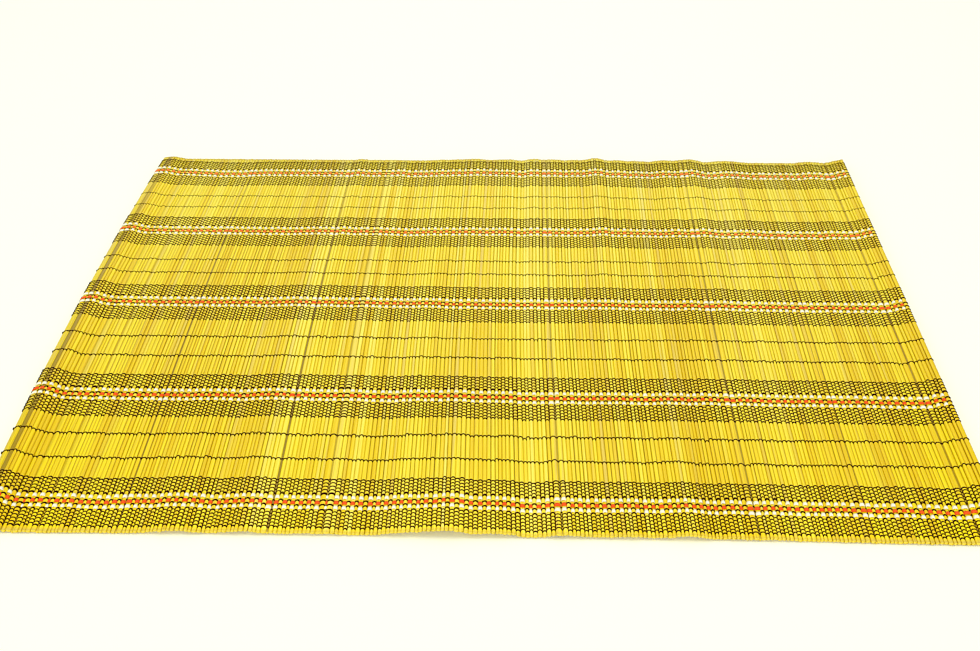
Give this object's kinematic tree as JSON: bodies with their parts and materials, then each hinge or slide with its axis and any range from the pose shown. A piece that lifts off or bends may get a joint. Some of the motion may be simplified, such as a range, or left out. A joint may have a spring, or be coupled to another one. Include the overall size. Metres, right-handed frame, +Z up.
{
  "type": "bamboo place mat",
  "caption": "Rectangular woven bamboo place mat, thin splints bound by crosswise thread bands, lying flat on a table to set a plate on.",
  "frame": {"origin": "on the table under the middle of the mat", "axes": "+X along the row of splints (the mat's long side), +Y along the splints towards the back edge, +Z up"},
  "size_m": [0.43, 0.354, 0.0053],
  "materials": {
    "bamboo": "satin split bamboo, dyed yellow",
    "dark_thread": "matt twisted thread, olive black",
    "white_cord": "soft matt cord, off white",
    "red_cord": "soft matt cord, orange red"
  },
  "bodies": {
    "root": {"woven_mat": "bamboo"}
  },
  "joints": []
}
